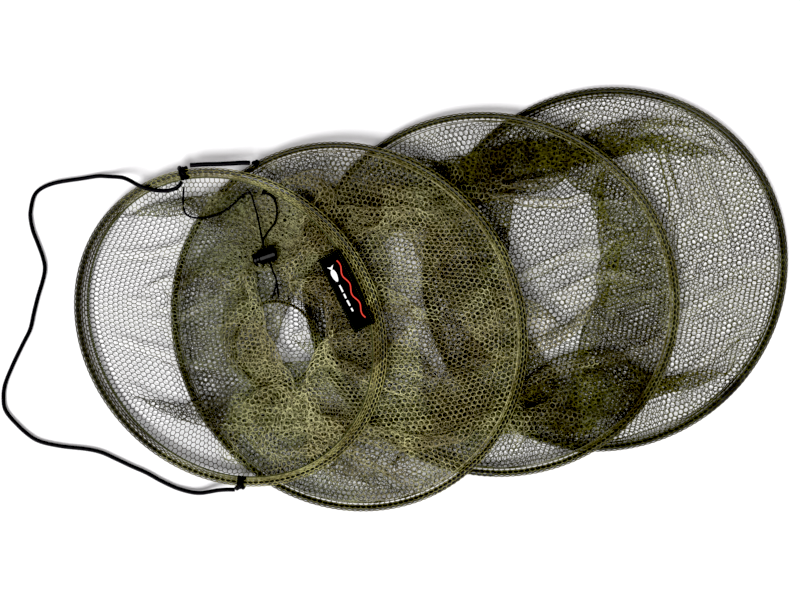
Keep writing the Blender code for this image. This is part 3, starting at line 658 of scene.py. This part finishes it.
def section_grid(number, steps):
    """One wall of the net, from hoop number to the next one, as it lies."""
    upper, lower, seed, wall = number, number + 1, 10 * number, WALLS[number]
    length = wall["length"]
    rows = round(length / ROW_STEP) + 1
    degrees = 360.0 * np.arange(AROUND) / AROUND
    p, q = rim(upper, degrees, -SEWN_IN, -SEWN_UNDER), rim(lower, degrees, -SEWN_IN, SEWN_OVER)
    middle = (p + q)[:, :2] / 2
    inward = fold_direction(upper, lower, middle)
    rng = np.random.default_rng(seed)
    uneven = 0.0
    for count in (1, 2, 3, 5, 8):
        size, phase = rng.normal(0, 0.06), rng.uniform(0, 6.28)
        uneven = uneven + size * np.cos(np.radians(degrees) * count + phase)
    reach = wall["reach"] - wall["less"] * near_angle(degrees, wall["less_at"], wall["less_over"])
    h = fold_path(p, q, length, inward) * np.clip(reach + wall["wander"] * uneven, 0.15, 1.0)
    fold = np.concatenate([middle + inward * h[:, None], ((p + q)[:, 2] / 2)[:, None]], axis=1)
    to_fold, from_fold = np.linalg.norm(fold - p, axis=1), np.linalg.norm(q - fold, axis=1)
    share = to_fold / (to_fold + from_fold)
    v = np.linspace(0, 1, rows)[:, None]
    first, second = np.clip(v / share, 0, 1), np.clip((v - share) / (1 - share), 0, 1)
    x = p + (fold - p) * first[..., None] + (q - fold) * second[..., None]
    hump = np.sin(math.pi * v) ** 0.7 * wall["rise"]
    x[..., 2] += hump * (0.012 + 0.010 * waves(rows, seed + 1, wall["pleats"], 0.6))
    sideways = np.stack([-inward[:, 1], inward[:, 0]], 1)
    x[..., :2] += (hump * 0.006 * waves(rows, seed + 2, wall["pleats"], 0.8))[..., None] * sideways
    around = [hoop_length(upper), hoop_length(lower)]
    round_rest = (around[0] + (around[1] - around[0]) * np.linspace(0, 1, rows)[:, None]) / AROUND
    down_rest = length / (rows - 1)
    ground = 0.0012 + 0.0006 * (3 - number)
    on_top = rising(np.linspace(0, 1, rows)[:, None] - 0.56, 0.14)

    def support(px, py):
        if number == 1:
            low, free = over_funnel(px, py), on_top * (1 - under_lock(px, py))
        else:
            low = ground + 0.25 * level(lower, px, py) * rising(outside(lower, px, py), 0.03)
            free = on_top
        return np.maximum(low, low + (ridge_height(number, px, py) - low) * free)

    def ceiling(px, py):
        high = np.minimum(level(upper, px, py) - 0.002, wall["highest"])
        if number > 1:
            return high
        return high + (level(2, px, py) + 0.0006 - high) * under_lock(px, py)
    limits = wall_limits(upper, support, ceiling)
    return settle(x, round_rest, down_rest, limits, steps, WALL_GRAVITY, seed + 3, wall["down_give"])


def throat_point(degrees, out=0.0, up=0.0):
    """Points on the throat's opening, moved outwards and up."""
    a = np.radians(np.asarray(degrees, float))
    x = THROAT_CENTRE[0] + (THROAT_HALF[0] + out) * np.cos(a)
    y = THROAT_CENTRE[1] + (THROAT_HALF[1] + out) * np.sin(a)
    return np.stack([x, y, level(2, x, y) + THROAT_RISE + up], axis=-1)


def funnel_grid(seed, steps):
    """The inner funnel, from hoop 2 down to the throat."""
    rows = round(FUNNEL_LENGTH / ROW_STEP) + 1
    degrees = 360.0 * np.arange(AROUND) / AROUND
    p, q = rim(2, degrees, -0.0038, 0.0), throat_point(degrees, 0.0024)
    v = np.linspace(0, 1, rows)[:, None, None]
    x = p + (q - p) * v
    slack = np.sqrt(np.maximum((FUNNEL_LENGTH / np.linalg.norm(q - p, axis=1)) ** 2 - 1, 0))
    folds = np.sin(3 * math.pi * v[..., 0]) * np.minimum(slack * 0.012, 0.020)
    x[..., 2] += folds + np.sin(math.pi * v[..., 0]) * 0.008 * waves(rows, seed, (5, 7, 9, 13), 0.5)
    round_rest = (FUNNEL_TOP_ROUND + (FUNNEL_END_ROUND - FUNNEL_TOP_ROUND) * v[..., 0]) / AROUND

    def floor(px, py):
        return 0.0030 + 0.45 * level(2, px, py) * rising(outside(2, px, py), 0.04)
    limits = wall_limits(1, floor, lambda px, py: level(2, px, py) + 0.003)
    return settle(x, round_rest, FUNNEL_LENGTH / (rows - 1), limits, steps, FUNNEL_GRAVITY, seed + 3)


# Pieces

def net_sheet(obj):
    """Reads the polygon areas of a netting piece; nothing is done with them."""
    mesh = obj.data
    areas = np.zeros(len(mesh.polygons))
    mesh.polygons.foreach_get("area", areas)


def ride_and_replace(obj, body, nodes):
    """Says which body a piece moves with, which CAD nodes it stands for."""
    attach(obj, body)
    if nodes:
        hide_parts(*nodes)


def blended(obj):
    """Bakes a net's placement into its points."""
    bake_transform(obj)


def net_wall(number, grid, material):
    """A wall's netting, in two pieces, upper and lower."""
    around, length = (hoop_length(number) + hoop_length(number + 1)) / 2, WALLS[number]["length"]
    uv, edges = tube_lattice(round(around / PITCH), round(length / (PITCH * math.sqrt(3) / 2)))
    points = on_grid(grid, uv[:, 0], uv[:, 1])
    points[:, 2] = np.maximum(points[:, 2], LOWEST_STRAND)
    middle = uv[edges, 1].mean(1)
    for part, chosen in (("upper", middle < 0.5), ("lower", middle >= 0.5)):
        obj = strands(f"section_{number}_netting_{part}", points, edges[chosen], STRAND_RADIUS, material)
        blended(obj)
        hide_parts(f"section_{number}_net")
        net_sheet(obj)


def lip_width(number, degrees):
    """A hem's reach inwards. The mouth's is wider, and narrows at the two handle knots."""
    if number > 1:
        return np.full(len(degrees), BODY_HEM_LIP)
    away = np.cos(np.radians(degrees - (TOP_KNOT + BOTTOM_KNOT) / 2)) ** 2
    return LIP * (LIP_AT_KNOTS + (1.0 - LIP_AT_KNOTS) * away)


def hem_net(number, node, material):
    """A hem: netting folded over a hoop and sewn to itself just inside it."""
    around = hoop_length(number)
    wrap = math.pi * HEM_RADIUS * 1.5
    deepest = float(np.max(lip_width(number, np.arange(360.0))))
    across = 2 * deepest + wrap
    uv, edges = tube_lattice(round(around / PITCH), HEM_ROWS[number])
    degrees = 360.0 * uv[:, 0]
    s = uv[:, 1] * across
    turn = 0.75 * math.pi - (np.clip(s - deepest, 0, wrap) / wrap) * 1.5 * math.pi
    start = -HEM_RADIUS * 0.71
    above, below = s < deepest, s > deepest + wrap
    share = np.where(above, 1 - s / deepest, np.clip((s - deepest - wrap) / deepest, 0, 1))
    flat = above | below
    lip = start + (-lip_width(number, degrees) - start) * share
    out = np.where(flat, lip, HEM_RADIUS * np.cos(turn))
    edge = np.where(above, 1.0, -1.0) * (0.0006 + (HEM_RADIUS * 0.71 - 0.0006) * (1 - share) ** 1.5)
    up = np.where(flat, edge, HEM_RADIUS * np.sin(turn))
    obj = strands(f"{node}_netting", rim(number, degrees, out, up), edges, STRAND_RADIUS, material)
    ride_and_replace(obj, BODIES[number], [node])
    net_sheet(obj)


def seam_thread(material):
    """Two sewing threads that twist round each other along the hem's inner edge."""
    count, twists, thread = 1440, 190, 0.0004
    degrees = 360.0 * np.arange(count) / count
    turns = 2 * math.pi * twists * np.arange(count) / count
    edge = -lip_width(1, degrees) - thread
    for k in (0, 1):
        phase = turns + math.pi * k
        line = rim(1, degrees, edge + thread * np.cos(phase), 0.0006 * np.sin(phase))
        obj = tube(f"mouth_seam_thread_{k + 1}", line, 0.00042, material, 6, closed=True)
        ride_and_replace(obj, BODIES[1], ["mouth_hem_seam"])


def bottom_net_piece(material):
    """The closed end: flat netting inside hoop 4, lying in a few low wrinkles."""
    cx, cy, long, short = HOOPS[4][:4]
    points, edges = flat_lattice(2 * long, lambda x, y: outside(4, x + cx, y + cy) < -0.0034)
    c, s = math.cos(0.3), math.sin(0.3)
    x, y = cx + c * points[:, 0] - s * points[:, 1], cy + s * points[:, 0] + c * points[:, 1]
    edges = edges[(outside(4, x[edges], y[edges]) < -0.0032).all(1)]
    edge = np.clip(-outside(4, x, y) / 0.03, 0, 1)
    wrinkle = (np.sin(38 * x + 21 * y + 2.2 * np.sin(17 * y)) * np.sin(13 * x - 29 * y + 1.0)) ** 2
    z = 0.0010 + 0.0026 * edge * (1 - edge) + 0.0045 * edge * wrinkle + 0.0022 * (1 - edge)
    obj = strands("bottom_netting", np.stack([x, y, z], -1), edges, STRAND_RADIUS, material)
    ride_and_replace(obj, BODIES[4], ["bottom_net"])
    net_sheet(obj)


def funnel_net(grid, material):
    """The throat's funnel, cut as part of a ring and sewn along one seam, so its holes stay one size."""
    large, small = FUNNEL_TOP_ROUND, FUNNEL_END_ROUND
    outer = FUNNEL_LENGTH * large / (large - small)
    inner = outer - FUNNEL_LENGTH
    sector = large / outer

    def in_cut(x, y):
        r, a = np.hypot(x, y), np.arctan2(y, x) % (2 * math.pi)
        return (r > inner) & (r < outer) & (a < sector)
    points, edges = flat_lattice(2 * outer, in_cut)
    r, a = np.hypot(*points.T), np.arctan2(points[:, 1], points[:, 0]) % (2 * math.pi)
    a = np.where(a > (sector + 2 * math.pi) / 2, a - 2 * math.pi, a)
    u, v = a / sector, np.clip((outer - r) / FUNNEL_LENGTH, 0, 1)
    placed = on_grid(grid, u, v)
    middle = v[edges].mean(1)
    split = 0.42    # of the way down, where the outer piece meets the inner one
    for part, chosen, share, centre in (("outer", middle < split, split, 0.21),
                                        ("inner", middle >= split, 0.58, 0.71)):
        obj = strands(f"throat_funnel_netting_{part}", placed, edges[chosen], STRAND_RADIUS, material)
        ride_and_replace(obj, BODIES[2], ["throat_net"])
        net_sheet(obj)
    seam = on_grid(grid, np.zeros(260), np.linspace(0.0, 1.0, 260))
    obj = tube("throat_funnel_seam", seam + np.array([0.0, 0.0, 0.0004]), 0.0005, material, 6)
    ride_and_replace(obj, BODIES[2], [])


def throat_ring(materials):
    """The small opening's drawstring, with its hem of netting gathered round it."""
    degrees = np.arange(240) * 1.5
    ring = throat_point(degrees)
    obj = tube("throat_drawstring_cord", ring, CORD_RADIUS, materials["cord"], 10, closed=True)
    ride_and_replace(obj, BODIES[2], ["throat_drawstring"])
    casing, gathers = 0.00165, 37
    uv, edges = tube_lattice(84, 4)
    turn = np.radians(180.0 - 10.0 - 340.0 * uv[:, 1])
    spread = casing * (1 + 0.25 * np.sin(2 * math.pi * gathers * uv[:, 0]))
    points = throat_point(360.0 * uv[:, 0], spread * np.cos(turn), spread * np.sin(turn))
    obj = strands("throat_casing_netting", points, edges, 0.0003, materials["rim"])
    ride_and_replace(obj, BODIES[2], ["throat_casing"])
    net_sheet(obj)


def lay(along, round_it):
    """The slanting rows on a knotted cord, as a tube's relief."""
    return lambda ring, side: 1.0 + 0.05 * np.sin(ring * along + side * round_it)


def rim_axes(degrees):
    """The mouth rim's place, and its outward, upward and lengthways directions."""
    place = rim(1, degrees)
    along = unit(rim(1, degrees - 1.0) - rim(1, degrees + 1.0))
    outward = np.cross(unit(np.array([-HOOPS[1][6], -HOOPS[1][7], 1.0])), along)
    return place, outward, np.cross(along, outward), along


def lashing(name, degrees, node, material, lean):
    """The handle rope's knot round the rim: two turns, and one that crosses over them."""
    place, outward, up, along = rim_axes(degrees)

    def wound(piece, radius, nodes, turn, reach, rise, step):
        line = place + np.outer(reach * np.cos(turn), outward) + np.outer(reach * rise, up)
        obj = tube(piece, line + np.outer(step, along), radius, material, 12, relief=lay(0.9, 1.57))
        ride_and_replace(obj, BODIES[1], nodes)
    t = np.linspace(0, 1, 260)
    turn = math.radians(-40.0) + 2 * math.pi * 2.15 * t
    low = np.maximum(np.sin(turn), -0.92)
    wound(name, 0.00165, [node], turn, 0.0049 + 0.0002 * np.sin(5 * turn), low, (t - 0.5) * 0.0066)
    t = np.linspace(0, 1, 120)
    turn = math.radians(170.0) * t - math.radians(10.0)
    reach = 0.0049 + 0.0028 * np.sin(math.pi * t)
    wound(name + "_crossing", 0.00170, [], turn, reach, np.sin(turn), lean * (t - 0.5) * 0.0080)


def overhand_knot(node, centre, size, radius, turn, material):
    """A small overhand knot: a trefoil of cord pulled tight, flattened to lie down."""
    t = np.linspace(0, 2 * math.pi, 220, endpoint=False)
    x, y, z = np.sin(t) + 2 * np.sin(2 * t), np.cos(t) - 2 * np.cos(2 * t), -np.sin(3 * t)
    c, s = math.cos(turn), math.sin(turn)
    line = np.stack([size * (c * x * 1.15 - s * y), size * (s * x * 1.15 + c * y), 1.5 * size * z], 1) / 3.0
    obj = tube(f"{node}_loop", np.array(centre) + line, radius, material, 10, True, lay(0.8, 1.9))
    ride_and_replace(obj, BODIES[1], [node])


def label_frame():
    """The label's place and turn: lengthways, crossways and up."""
    normal = Vector((-HOOPS[1][6], -HOOPS[1][7], 1.0)).normalized()
    turn = math.radians(LABEL_TURN)
    lengthways = Vector((math.cos(turn), math.sin(turn), 0.0))
    lengthways = (lengthways - normal * lengthways.dot(normal)).normalized()
    across = normal.cross(lengthways)
    x, y = LABEL_PLACE
    place = Vector((x, y, level(1, x, y) + LABEL_RISE))
    frame = Matrix.Translation(place) @ Matrix((lengthways, across, normal)).transposed().to_4x4()
    return frame @ Matrix.Rotation(math.radians(LABEL_ROLL), 4, "X")


def label_bend(x, y):
    """How far the label's cloth lies off its plane."""
    lengthways = 0.0011 * np.cos(1.7 * x / (LABEL_SIZE[0] / 2) + 0.4)
    return lengthways - 0.0006 * np.cos(2.6 * y / LABEL_SIZE[1]) + 0.0003 * np.sin(x * 260 + y * 90)


def label_point(frame, x, y, up):
    """Points in the row frame from the label's own lengthways, crossways and upward places."""
    local = np.stack([x, y, label_bend(x, y) + up], -1).reshape(-1, 3)
    m = np.array(frame)
    return local @ m[:3, :3].T + m[:3, 3]


def patch(name, frame, outline, thickness, material):
    """A raised shape on the label, from its outline as (x, y) points."""
    outline = np.array(outline, float)
    n = len(outline)
    flat = np.concatenate([outline, [outline.mean(0)]]).T
    top, low = (label_point(frame, *flat, DESIGN_LEVEL + up) for up in (thickness, 0.0))
    k = np.arange(n)
    sides = np.stack([k, k + n + 1, (k + 1) % n + n + 1, (k + 1) % n], 1)
    ends = np.concatenate([fan(n, k), fan(2 * n + 1, k + n + 1)[:, [0, 2, 1]]])
    obj = mesh_object(name, np.concatenate([top, low]), material, sides, ends, smooth=False)
    ride_and_replace(obj, BODIES[1], [])


def ribbon_shape(name, frame, line, width, thickness, material):
    """A raised band along a line on the label."""
    ahead = unit(np.gradient(line, axis=0))
    side = np.stack([-ahead[:, 1], ahead[:, 0]], 1) * (width / 2)
    left, right = line + side, line - side
    low, high = DESIGN_LEVEL, DESIGN_LEVEL + thickness
    corners = ((left, low), (left, high), (right, high), (right, low))
    points = np.stack([label_point(frame, *p.T, up) for p, up in corners])
    obj = mesh_object(name, points, material, grid_faces(4, len(line), True, False), smooth=False)
    ride_and_replace(obj, BODIES[1], [])


def build_label(materials):
    """A black woven label with a plain generic design: a red wavy line, a small white fish and bars."""
    frame = label_frame()
    length, width, thick = LABEL_SIZE
    nx, ny = 78, 24
    x, y = np.meshgrid(np.linspace(-length / 2, length / 2, nx), np.linspace(-width / 2, width / 2, ny),
                       indexing="ij")
    weave = 0.00003 * np.sin(x * 5200) * np.sin(y * 5200)
    top = label_point(frame, x, y, thick / 2 + weave)
    low = label_point(frame, x, y, -thick / 2)
    faces = grid_faces(nx, ny, False, False)
    count = nx * ny
    border = np.concatenate([np.arange(ny), np.arange(1, nx) * ny + ny - 1,
                             (nx - 1) * ny + np.arange(ny - 2, -1, -1), np.arange(nx - 2, 0, -1) * ny])
    sides = np.stack([border, np.roll(border, -1), np.roll(border, -1) + count, border + count], 1)
    obj = mesh_object("label_cloth", np.concatenate([top, low]), materials["label"],
                      faces, faces[:, ::-1] + count, sides)
    ride_and_replace(obj, BODIES[1], ["label"])
    t = np.linspace(0, 1, 90)
    wave = np.stack([-0.030 + 0.060 * t, 0.0052 + 0.0014 * np.sin(2 * math.pi * 3 * t)], 1)
    ribbon_shape("label_red_wave", frame, wave, 0.0013, 0.00022, materials["red"])
    turn = np.linspace(0, 2 * math.pi, 40, endpoint=False)
    fish = np.stack([-0.018 + 0.0062 * np.cos(turn),
                     -0.0030 + 0.0026 * np.sin(turn) * (1 - 0.25 * np.cos(turn))], 1)
    patch("label_fish_body", frame, fish, 0.00022, materials["white"])
    tail = [(-0.0236, -0.0030), (-0.0282, 0.0004), (-0.0268, -0.0030), (-0.0282, -0.0064)]
    patch("label_fish_tail", frame, tail, 0.00022, materials["white"])
    bars = ((-0.0080, 0.0070), (0.0010, 0.0046), (0.0078, 0.0058), (0.0160, 0.0034))
    for k, (start, size) in enumerate(bars):
        bar = [(start, -0.0038), (start + size, -0.0038), (start + size, -0.0022), (start, -0.0022)]
        patch(f"label_bar_{k + 1}", frame, bar, 0.0002, materials["white"])
    label_stitches(frame, materials["thread"])


def label_stitches(frame, material):
    """Running stitches round the label's edge."""
    length, width, thick = LABEL_SIZE
    inset, pitch, long, gap = 0.0011, 0.0024, 0.0016, 0.0004
    radius, arch, points, sides = 0.00019, 0.00016, 6, 5
    x, y = length / 2 - inset, width / 2 - inset
    corners = [(-x, -y), (x, -y), (x, y), (-x, y)]
    rise = arch * np.sin(math.pi * np.linspace(0, 1, points))
    verts, faces = [], []
    for (ax, ay), (bx, by) in zip(corners, corners[1:] + corners[:1]):
        side = math.hypot(bx - ax, by - ay)
        dx, dy = (bx - ax) / side, (by - ay) / side
        for k in range(int(side / pitch)):
            faces.append(grid_faces(sides, points, True, False) + len(verts) * points)
            s = np.linspace(0, long, points) + k * pitch + gap
            for turn in range(sides):
                a = 2 * math.pi * turn / sides
                off, high = radius * math.cos(a), radius * math.sin(a)
                verts.append(label_point(frame, ax + dx * s - dy * off, ay + dy * s + dx * off,
                                         thick / 2 + rise + high))
    obj = mesh_object("label_stitching", np.concatenate(verts), material, np.concatenate(faces))
    ride_and_replace(obj, BODIES[1], [])


def build_fittings(materials):
    lashing("handle_knot_top_wraps", TOP_KNOT, "handle_knot_top", materials["rope"], 1.0)
    lashing("handle_knot_bottom_wraps", BOTTOM_KNOT, "handle_knot_bottom", materials["rope"], -1.0)
    overhand_knot("handle_tail_knot", TAIL_KNOT, 0.0024, 0.0013, 0.3, materials["rope"])
    overhand_knot("drawstring_end_knot", END_KNOT, 0.0016, 0.0009, 1.1, materials["cord"])


def hoop_tube(number, material):
    obj = tube(f"hoop_{number}_wire", rim(number, np.arange(360.0)), WIRE_RADIUS, material, 14, closed=True)
    ride_and_replace(obj, BODIES[number], [f"hoop_{number}"])


def joint_ferrule(number, material):
    """The steel sleeve over the hoop's two ends, pressed down in two places."""
    t = np.linspace(0, 1, 60)
    degrees = SLEEVE_AT[number] + SLEEVE_SPAN * t
    pressed = 0.00018 * (np.exp(-((t - 0.22) / 0.04) ** 2) + np.exp(-((t - 0.78) / 0.04) ** 2))
    lip = 0.00012 * (np.exp(-(t / 0.02) ** 2) + np.exp(-((1 - t) / 0.02) ** 2))
    radius = SLEEVE_RADIUS - pressed + lip
    obj = tube(f"hoop_{number}_ferrule", rim(number, degrees), radius, material, 16)
    ride_and_replace(obj, BODIES[number], [f"hoop_{number}_joint_sleeve"])


def build_hoops(materials):
    for number in HOOPS:
        hoop_tube(number, materials["wire"])
        joint_ferrule(number, materials["steel"])
        if number > 1:
            hem_net(number, f"hoop_{number}_hem", materials["rim"])
    hem_net(1, "mouth_hem", materials["hem"])
    seam_thread(materials["thread"])


def rope(node, route, radius, material, body, blend_to=None):
    """A braided rope, loose and limp: a tube whose surface has the braid's crossing rows."""
    step, sides = radius * 0.28, 16
    line = smooth_route(route, step)

    def braid(ring, side):
        a, b = 2 * math.pi * ring * step / (radius * 2.6), 2 * math.pi * side * 4 / sides
        return 1.0 + 0.05 * (np.sin(a + b) * np.sin(a - b)) - 0.03
    obj = tube(f"{node}_braid", line, radius, material, sides, relief=braid)
    if blend_to is None:
        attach(obj, body)
    else:
        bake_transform(obj)
    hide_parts(node)


def build_ropes(materials):
    black, cord = materials["rope"], materials["cord"]
    rope("handle_rope", HANDLE_ROUTE, ROPE_RADIUS, black, "handle")
    rope("handle_tail", TAIL_ROUTE, TAIL_RADIUS, black, "mouth")
    rope("drawstring_lead", LEAD_ROUTE, CORD_RADIUS, cord, "mouth",
         ("second_hoop", LEAD_ROUTE[0], LEAD_ROUTE[14]))
    rope("drawstring_return", RETURN_ROUTE, CORD_RADIUS, cord, "mouth",
         ("second_hoop", RETURN_ROUTE[0], RETURN_ROUTE[6]))


def build_camera():
    data = bpy.data.cameras.new("camera")
    camera = bpy.data.objects.new("camera", data)
    bpy.context.scene.collection.objects.link(camera)
    camera.location = (*VIEW_CENTRE[:2], VIEW_CENTRE[2] + CAMERA_HEIGHT)
    data.lens = data.sensor_width * CAMERA_HEIGHT / VIEW_WIDTH
    data.clip_start, data.clip_end = 0.05, 50.0
    bpy.context.scene.camera = camera


def build_stage():
    view = bpy.context.scene.view_settings
    view.view_transform = "Standard"
    view.exposure = EXPOSURE
    view.use_curve_mapping = True
    view.curve_mapping.black_level = (BLACK_LEVEL,) * 3
    h = FLOOR_HALF
    points = [(-h, -h, 0), (h, -h, 0), (h, h, 0), (-h, h, 0)]
    floor = mesh_object("floor", points, floor_material(), [(0, 1, 2, 3)], smooth=False)
    floor.location = (0.0, 0.0, FLOOR_LEVEL)
    world = bpy.data.worlds.new("studio")
    world.use_nodes = True
    set_inputs(world.node_tree.nodes["Background"], Color=SKY_COLOUR, Strength=SKY_STRENGTH)
    bpy.context.scene.world = world
    for name, place, angle, power in SUNS:
        data = bpy.data.lights.new(name, "SUN")
        data.angle, data.energy = math.radians(angle), power
        light = bpy.data.objects.new(name, data)
        light.location = place
        light.rotation_euler = (-Vector(place)).to_track_quat("-Z", "Y").to_euler()
        bpy.context.scene.collection.objects.link(light)


def make_materials():
    black, dusty = (0.0025, 0.0025, 0.003), (0.014, 0.014, 0.016)
    return {
        # Each netting's three colours: painted shade low in the heap, the middle colour, and painted light at
        # the top of the heap.
        "netting": netting_material(
            "olive_netting", (0.072, 0.079, 0.043), (0.190, 0.202, 0.094), (0.520, 0.512, 0.268)),
        "base": netting_material(
            "base_netting", (0.074, 0.076, 0.022), (0.195, 0.200, 0.070), (0.520, 0.512, 0.268),
            (0.85, 0.80, 0.35)),
        "hem": netting_material(
            "hem_netting", (0.060, 0.060, 0.028), (0.150, 0.152, 0.058), (0.430, 0.425, 0.165)),
        "rim": netting_material(
            "rim_netting", (0.062, 0.065, 0.027), (0.112, 0.116, 0.044), (0.255, 0.252, 0.105),
            (0.95, 0.90, 0.55)),
        "rope": cord_material("black_rope", black, dusty, 900.0),
        "cord": cord_material("black_drawstring", black, dusty, 1700.0),
        "wire": plastic_material("coated_wire", (0.012, 0.013, 0.010), (0.05, 0.052, 0.045)),
        "plastic": plastic_material("black_plastic", (0.005, 0.005, 0.005), (0.03, 0.03, 0.03)),
        "steel": steel_material(),
        "thread": cord_material("dark_thread", (0.035, 0.040, 0.016), (0.12, 0.13, 0.06), 2600.0),
        "red": cord_material("red_embroidery", (0.50, 0.030, 0.020), (0.62, 0.10, 0.07), 2400.0),
        "white": cord_material("white_embroidery", (0.70, 0.70, 0.68), (0.86, 0.86, 0.84), 2400.0),
        "label": plastic_material(
            "black_woven_label", (0.003, 0.003, 0.0035), (0.008, 0.008, 0.009), 1800.0, (0.6, 0.75), 0.08),
    }


def build_nets(materials):
    steps = 150
    for number in WALLS:
        net_wall(number, section_grid(number, steps), materials["base" if number == 3 else "netting"])
    funnel_net(funnel_grid(50, steps), materials["netting"])
    throat_ring(materials)
    bottom_net_piece(materials["base"])


def dress_cad(frame, materials):
    """The CAD pieces that show as they are get their own material."""
    for name, look in CAD_LOOKS.items():
        node = frame["nodes"][name]
        node.data.materials.clear()
        node.data.materials.append(materials[look])


def main():
    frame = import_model()
    materials = make_materials()
    dress_cad(frame, materials)
    build_camera()
    build_fittings(materials)
    build_ropes(materials)
    build_stage()
    build_hoops(materials)
    build_nets(materials)
    build_label(materials)


main()
